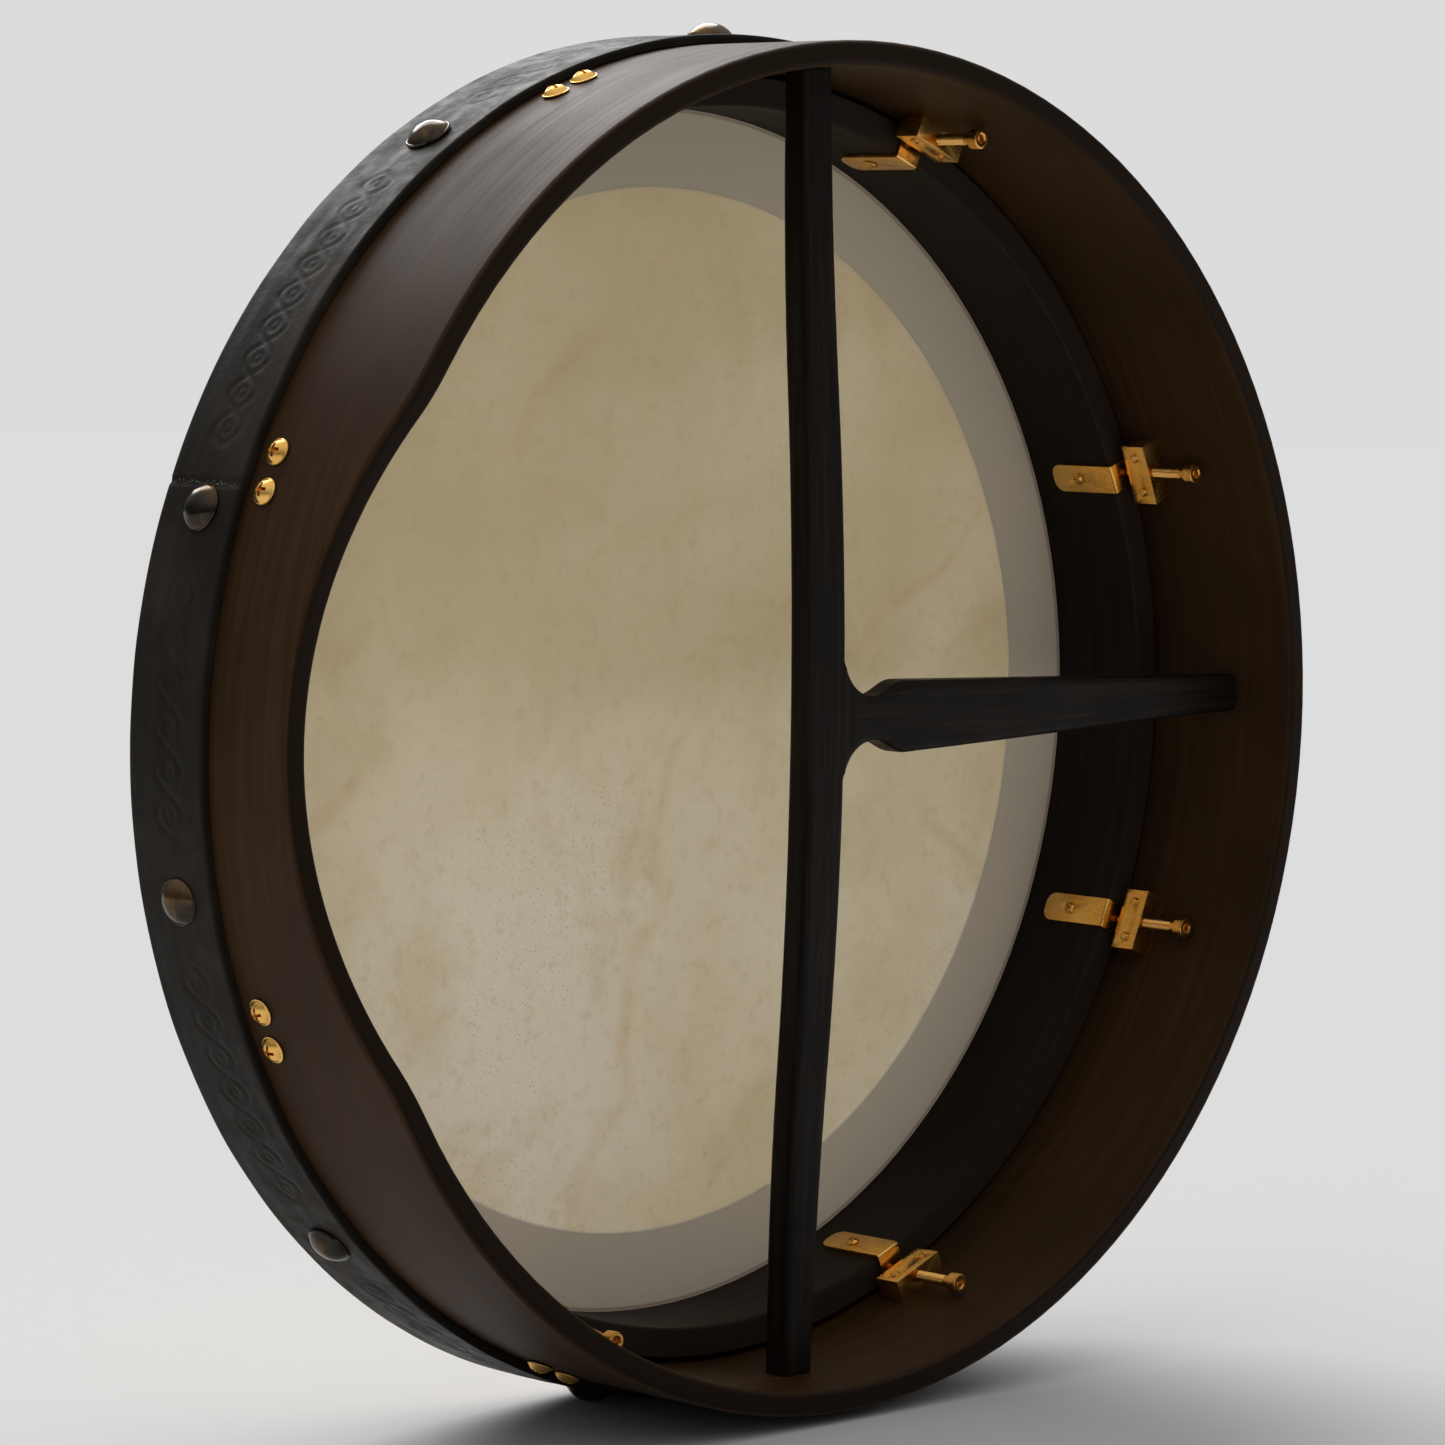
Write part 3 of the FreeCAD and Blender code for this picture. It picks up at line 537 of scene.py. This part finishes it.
def leather_band():
    """The band: thick leather with blind tooling, dimpled at each tack and butted at a seam."""
    front, rear = BAND_BACK
    steps = 1440
    rows = [front + 0.5 + (rear - front - 1.0) * n / 40 for n in range(41)]
    profile = [(SKIN_OUT + 0.1, front + 0.4), (SKIN_OUT + 0.5, front), (BAND_OUT - 0.35, front + 0.08)]
    profile += [(BAND_OUT, back) for back in rows]
    profile += [(BAND_OUT - 0.35, rear - 0.08), (BAND_OUT - 1.2, rear), (SHELL + 0.35, rear)]
    profile += [(SHELL + 0.15, rear - 0.3), (SHELL + 0.15, SKIN_LAP + 1.2), (SKIN_OUT + 0.1, SKIN_LAP + 0.6)]
    rings = []
    for radius, back in profile:
        ring = []
        for n in range(steps):
            angle = 360 * n / steps
            place = spot(angle, 10.0, back * 0.2)
            lift = 0.0
            shift = noise.noise(place * 1.3) * 0.35 * max(0.0, (back - 25) / 15)
            if radius > BAND_OUT - 0.5:
                lift = noise.noise(place) * 0.22 - pattern_depth(angle, back)
                seam = abs(angle - SEAM_ANGLE) * math.radians(1) * BAND_OUT
                lift -= 0.7 * math.exp(-((seam / 0.7) ** 2))
                for tack in TACK_ANGLES:
                    off = abs((angle - tack + 180) % 360 - 180) * math.radians(1) * BAND_OUT
                    if off < 24:
                        lift -= 0.35 * math.exp(-((math.hypot(off, back - TACK_BACK) / 10.5) ** 4))
            ring.append(spot(angle, radius + lift, back + shift))
        rings.append(ring)
    band = raw_object("leather_band_tooled", loft(rings, closed=True))
    return piece(band, "frame", "black_leather", LEATHER, "leather_band", sharp=50)


def seam_fibres():
    """Short frayed fibres that stand along the band's butt seam."""
    shapes = []
    front, rear = BAND_BACK
    back = front + 2.0
    while back < rear - 1.5:
        length, thick = rng.uniform(0.5, 1.3), rng.uniform(0.08, 0.2)
        strand = lathe([(thick, 0.0), (thick * 0.8, length * 0.6), (thick * 0.2, length)], 5)
        lean = Matrix.Rotation(rng.uniform(-0.9, 0.9), 4, "X")
        lean @= Matrix.Rotation(rng.uniform(-1.1, 1.1), 4, "Y")
        seat = facing(SEAM_ANGLE + rng.uniform(-0.08, 0.08), BAND_OUT - 0.85, back)
        shapes.append(placed(strand, seat @ lean))
        back += rng.uniform(0.12, 0.4)
    fibres = raw_object("band_seam_fibres", joined(shapes))
    return piece(fibres, "frame", "black_leather", FRAY)


# ---- Tacks, screws and bolts


def dome_tacks():
    """Hand-set dome tacks: a low round head with a thin rolled rim, each a little dented and turned."""
    shapes = []
    head = [(0.01, -0.35), (6.6, -0.35), (7.75, -0.15), (TACK_RADIUS, 0.25), (7.62, 0.8)]
    ball = (TACK_RADIUS**2 + TACK_RISE**2) / (2 * TACK_RISE)
    for step in range(1, 13):
        radius = 7.4 * math.cos(math.radians(90 * step / 12.02))
        head.append((radius, math.sqrt(ball**2 - radius**2) - (ball - TACK_RISE)))
    pin = lathe([(0.1, -9.4), (1.2, -7.0), (1.2, 0.0)], 12)
    for angle in TACK_ANGLES:
        verts, faces = lathe(head, 48)
        dented = []
        for point in verts:
            dent = noise.noise(point * 0.23 + Vector((angle, 0, 0))) * 0.22
            dented.append(point + Vector((0, 0, dent if point.z > 0.5 else 0)))
        tilt = Matrix.Rotation(rng.uniform(-0.04, 0.04), 4, "X")
        seat = facing(angle, BAND_OUT, TACK_BACK)
        shapes += [placed((dented, faces), seat @ tilt), placed(pin, seat)]
    tacks = raw_object("dome_tack_heads", joined(shapes))
    return piece(tacks, "frame", "antique_bronze", BRONZE, "dome_tacks")


def cross_cutter(reach, half, depth, top):
    """The tapered four-armed recess of a cross-head screw, as a tool to cut with."""
    corners = ((-1, -1), (1, -1), (1, 1), (-1, 1))
    wide = [Vector((x * reach, y * half, top)) for x, y in corners]
    deep = [Vector((x * reach * 0.28, y * half * 0.75, top - depth)) for x, y in corners]
    blade = loft([deep, wide])
    return joined([placed(blade, Matrix.Rotation(turn, 4, "Z")) for turn in (0, math.pi / 2)])


def cross_head_screw(head, dome, shank, length):
    """A domed cross-head screw along Z: its head seated at height 0, its shank below."""
    ball = (head**2 + dome**2) / (2 * dome)
    profile = [(shank * 0.6, -length), (shank, -length + shank * 0.25), (shank, -0.05), (head * 0.9, 0.0)]
    profile += [(head, head * 0.09)]
    for step in range(1, 12):
        radius = head * math.cos(math.radians(90 * step / 11.05))
        profile.append((radius, max(head * 0.13, math.sqrt(ball**2 - radius**2) - (ball - dome))))
    body = raw_object("screw_blank", lathe(profile))
    tool = raw_object("screw_tool", cross_cutter(head * 0.6, head * 0.125, dome * 1.3, dome * 1.05))
    for obj in (body, tool):
        finish_mesh(obj)
    cut = body.modifiers.new("recess", "BOOLEAN")
    cut.object, cut.operation, cut.solver = tool, "DIFFERENCE", "EXACT"
    cut.use_self = True
    applied(body)
    shape = (
        [vertex.co / MM for vertex in body.data.vertices],
        [tuple(face.vertices) for face in body.data.polygons],
    )
    bpy.data.objects.remove(body)
    bpy.data.objects.remove(tool)
    return shape


def block_screws():
    """Two screws through the shell into each tuner block, their tips a little proud of its inner face."""
    screw = cross_head_screw(4.6, 2.9, 1.65, SHELL - BLOCK_SCREW_TIP)
    shapes = []
    for angle in TUNER_ANGLES:
        for side in (-BLOCK_SCREW_SIDE, BLOCK_SCREW_SIDE):
            seat = facing(angle, SHELL, BLOCK_SCREW_BACK, side=side, spin=rng.uniform(0, 1.57))
            shapes.append(placed(screw, seat))
    screws = raw_object("block_screw_heads", joined(shapes))
    return piece(screws, "frame", "gilt_brass", BRASS, "block_screws", sharp=30)


def bracket_screws():
    """The small screw that holds each bracket to the tuning hoop."""
    screw = cross_head_screw(2.4, 1.5, 1.2, 7.0)
    shapes = []
    for angle in TUNER_ANGLES:
        spin = rng.uniform(0, 1.57)
        seat = facing(angle, BRACKET_FACE, BRACKET_SCREW_BACK, inwards=True, spin=spin)
        shapes.append(placed(screw, seat))
    screws = raw_object("bracket_screw_heads", joined(shapes))
    return piece(screws, "tuning_hoop", "gilt_brass", BRASS, "bracket_screws", sharp=30)


def bolt_shape():
    """A socket head cap screw along Z: rolled thread, plain neck, bevelled head and hexagon socket."""
    steps, pitch, length = 36, 0.7, 28.2
    shank, root, head, head_length = 2.0, 1.62, 3.5, 4.0
    threaded, end = length - 2.4, length + head_length

    def turned(radius, height):
        return circle(radius, height, steps)

    def hexagon(flats, height):
        ring = []
        for n in range(steps):
            turn = math.tau * n / steps
            radius = flats / 2 / math.cos((turn % (math.pi / 3)) - math.pi / 6)
            ring.append(Vector((radius * math.cos(turn), radius * math.sin(turn), height)))
        return ring

    rings = [turned(1.2, 0.0), turned(1.5, 0.25)]
    rows = round(threaded / pitch * 7)
    for row in range(rows + 1):
        height = 0.4 + (threaded - 0.4) * row / rows
        fade = min(1.0, (threaded - height) / pitch)
        ring = []
        for n in range(steps):
            wave = abs(((height / pitch - n / steps) % 1) * 2 - 1)
            radius = shank - (shank - root) * min(1.0, max(0.0, wave * 1.3 - 0.15)) * fade
            turn = math.tau * n / steps
            ring.append(Vector((radius * math.cos(turn), radius * math.sin(turn), height)))
        rings.append(ring)
    rings += [turned(shank, threaded + 0.2), turned(shank, length), turned(head - 0.25, length)]
    rings += [turned(head, length + 0.25), turned(head, end - 0.55)]
    rings += [turned(head - 0.12, end - 0.2), turned(head - 0.5, end), turned(2.15, end)]
    rings += [hexagon(3.25, end - 0.22), hexagon(3.0, end - 0.35), hexagon(3.0, end - 2.2)]
    rings += [turned(0.3, end - 2.6)]
    return loft(rings)


def tuner_bolts():
    """The eight tuner bolts, each riding its own body and turned its own way."""
    shape = bolt_shape()
    towards_back = Matrix.Rotation(math.radians(90), 4, "X")
    for number, angle in enumerate(TUNER_ANGLES, start=1):
        place = Matrix.Translation(spot(angle, BOLT_AXIS, BOLT_TIP_BACK)) @ towards_back
        spin = Matrix.Rotation(rng.uniform(0, math.tau), 4, "Z")
        bolt = raw_object(f"tuner_bolt_{number}_threaded", placed(shape, place @ spin))
        piece(bolt, f"bolt_{number}", "gilt_steel", STEEL, f"tuner_bolt_{number}", sharp=40)


def softened(node, body, slot, material, width):
    """A copy of a sharp-edged CAD node with its edges bevelled, which stands for the node."""
    copy = bpy.data.objects.new(f"{node}_bevelled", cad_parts[node].data.copy())
    bpy.context.collection.objects.link(copy)
    work = bmesh.new()
    work.from_mesh(copy.data)
    bmesh.ops.remove_doubles(work, verts=work.verts, dist=1e-6)
    bmesh.ops.dissolve_limit(work, angle_limit=math.radians(1.0), verts=work.verts, edges=work.edges)
    bmesh.ops.recalc_face_normals(work, faces=work.faces)
    work.to_mesh(copy.data)
    work.free()
    bevel = copy.modifiers.new("bevel", "BEVEL")
    bevel.width, bevel.segments = width * MM, 2
    bevel.limit_method, bevel.angle_limit = "ANGLE", math.radians(50)
    bevel.use_clamp_overlap = True
    applied(copy)
    return piece(copy, body, slot, material, node)


# ---- T-bar


def bar_back(along):
    """How far back the arched bar's centre line lies, at a distance along from its middle."""
    halfway, rise = SHELL / 2, BAR_ARCH / 2
    bend = (halfway**2 + rise**2) / (2 * rise)
    along = abs(along)
    if along <= halfway:
        return BAR_BACK + BAR_ARCH - bend + math.sqrt(bend**2 - along**2)
    return BAR_BACK + bend - math.sqrt(bend**2 - (SHELL - along) ** 2)


def section(half):
    """The bar's cross-section, half wide each way: a rectangle with rounded edges.

    It is a little full, because the carving pass that follows takes some off.
    """
    round_off, full = 1.9, 0.3
    wide, deep = half + full - round_off, BAR_THICK / 2 + full - round_off
    points = []
    for corner, (x, y) in enumerate(((1, 1), (-1, 1), (-1, -1), (1, -1))):
        for step in range(7):
            turn = math.radians(90 * corner + 15 * step)
            points.append((x * wide + round_off * math.cos(turn), y * deep + round_off * math.sin(turn)))
    return points


def arm_half(along):
    """Half width of the arm: a flared root, a neck, a carved shoulder and a tapered blade."""
    neck, flare, shoulder, end = 7.3, 16.0, 12.1, 6.0
    root_at, neck_at, shoulder_at = 8.0, 23.8, 38.5
    if along < neck_at:
        share = (neck_at - along) / (neck_at - root_at)
        return neck + flare * (1 - math.sqrt(max(0.0, 1 - share**2)))
    if along < shoulder_at:
        share = (along - neck_at) / (shoulder_at - neck_at)
        return neck + (shoulder - neck) * (3 - 2 * share) * share**2
    return shoulder + (end - shoulder) * (along - shoulder_at) / (SHELL - shoulder_at)


def t_bar():
    """The T-bar as one carved piece: the post and the arm flow into each other at their joint."""
    reach, level, root = 220.9, 2.6, 8.4
    post, arm = [], []
    for n in range(89):
        z = -reach + 2 * reach * n / 88
        half = 6.0 + 2.2 * (1 - (z / SHELL) ** 2)
        post.append([Vector((across, -bar_back(z) + deep, z)) for across, deep in section(half)])
    for n in range(120):
        # The first section lies inside the post, and the rest crowd towards the joint.
        x = root + (reach - root) * (n / 119) ** 1.6 if n else 2.0
        half = arm_half(max(x, root))
        arm.append([Vector((x, -bar_back(x) + deep, level + across)) for across, deep in section(half)])
    bar = raw_object("t_bar_carved", joined([loft(post), loft(arm)]))
    finish_mesh(bar)
    remesh = bar.modifiers.new("one_piece", "REMESH")
    remesh.mode, remesh.voxel_size = "VOXEL", 0.8 * MM
    smooth = bar.modifiers.new("sanded", "SMOOTH")
    smooth.factor, smooth.iterations = 0.5, 3
    applied(bar)
    work = bmesh.new()
    work.from_mesh(bar.data)
    joint = [
        vert
        for vert in work.verts
        if 8.7 * MM < vert.co.x < 20 * MM and abs(vert.co.z - level * MM) < 30 * MM
    ]
    every_way = {"use_axis_x": True, "use_axis_y": True, "use_axis_z": True}
    for _ in range(6):
        bmesh.ops.smooth_vert(work, verts=joint, factor=0.5, **every_way)
    work.to_mesh(bar.data)
    work.free()
    return piece(bar, "frame", "ebonised_wood", BAR_WOOD, "t_bar_post", "t_bar_arm", sharp=70)


# ---- Camera, light and floor


def camera():
    """Looks into the open back from behind and a little above, turned slightly on its own axis."""
    azimuth, elevation = math.radians(-44.697), math.radians(4.553)
    roll, pan, distance = math.radians(0.873), -0.00631, 1.83119
    target = Vector((0, -0.0513, 0))
    back = Vector((
        math.sin(azimuth) * math.cos(elevation),
        -math.cos(azimuth) * math.cos(elevation),
        math.sin(elevation),
    ))
    right = (-back).cross(Vector((0, 0, 1))).normalized()
    up = right.cross(-back)
    across = math.cos(roll) * right + math.sin(roll) * up
    ahead = (-back + pan * across).normalized()
    across = (across - across.dot(ahead) * ahead).normalized()
    axes = Matrix((across, across.cross(ahead), -ahead)).transposed().to_4x4()
    eye = bpy.data.objects.new("camera", bpy.data.cameras.new("camera"))
    bpy.context.collection.objects.link(eye)
    eye.data.sensor_width = 36.0
    eye.data.lens = 134.56
    eye.data.clip_end = 60.0
    eye.matrix_world = Matrix.Translation(target + distance * back) @ axes
    bpy.context.scene.camera = eye


def overhead_lamp():
    """A broad soft lamp, overhead and beyond the playing face."""
    data = bpy.data.lights.new("overhead", "SUN")
    data.energy = 2.7
    data.angle = math.radians(46)
    obj = bpy.data.objects.new("overhead", data)
    bpy.context.collection.objects.link(obj)
    obj.rotation_euler = Vector((0.3, 0.62, 0.6)).to_track_quat("Z", "Y").to_euler()


def studio():
    """A dim room with a bright ceiling, its lamp, plain pale paper behind the drum and a floor under it."""
    world = bpy.data.worlds.new("studio")
    world.use_nodes = True
    nodes, links = world.node_tree.nodes, world.node_tree.links
    paper = nodes["Background"]
    paper.inputs["Color"].default_value = (0.716, 0.716, 0.716, 1)
    room = nodes.new("ShaderNodeBackground")
    height = nodes.new("ShaderNodeSeparateXYZ")
    links.new(nodes.new("ShaderNodeTexCoord").outputs["Generated"], height.inputs[0])
    ceiling = nodes.new("ShaderNodeMapRange")
    ceiling.interpolation_type = "SMOOTHSTEP"
    # Its strength is 0.13 at the level of the drum and below, and rises to 0.95 overhead.
    for value, socket in zip((0.0, 0.95, 0.13, 0.95), list(ceiling.inputs)[1:]):
        socket.default_value = value
    links.new(height.outputs[2], ceiling.inputs[0])
    links.new(ceiling.outputs[0], room.inputs["Strength"])
    # Seen straight from the camera the world is plain paper. The room is only for lighting the drum.
    seen = nodes.new("ShaderNodeLightPath").outputs["Is Camera Ray"]
    either = nodes.new("ShaderNodeMixShader")
    links.new(seen, either.inputs[0])
    links.new(room.outputs[0], either.inputs[1])
    links.new(paper.outputs[0], either.inputs[2])
    links.new(either.outputs[0], nodes["World Output"].inputs["Surface"])
    bpy.context.scene.world = world
    bpy.context.scene.view_settings.view_transform = "Standard"
    overhead_lamp()
    steps = 96
    floor = raw_object("studio_floor", (circle(12000, 0, steps), [tuple(range(steps))]))
    floor.location.z = size_loaded[0].z - 0.0002
    floor.data.materials.append(floor_paper())


def dress_cad_nodes():
    """Put the wood and tape materials on the CAD nodes that are shown as they are."""
    for node, material in (("shell", SHELL_WOOD), ("tuning_hoop", HOOP_WOOD), ("damping_tape", GREY_TAPE)):
        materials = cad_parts[node].data.materials
        materials.clear()
        materials.append(material)


dress_cad_nodes()
drumhead()
leather_band()
seam_fibres()
dome_tacks()
block_screws()
bracket_screws()
tuner_bolts()
for number in range(1, 9):
    softened(f"tuner_block_{number}", "frame", "gilt_brass", BRASS, 0.3)
    softened(f"hoop_bracket_{number}", "tuning_hoop", "gilt_brass", BRASS, 0.15)
t_bar()
camera()
studio()
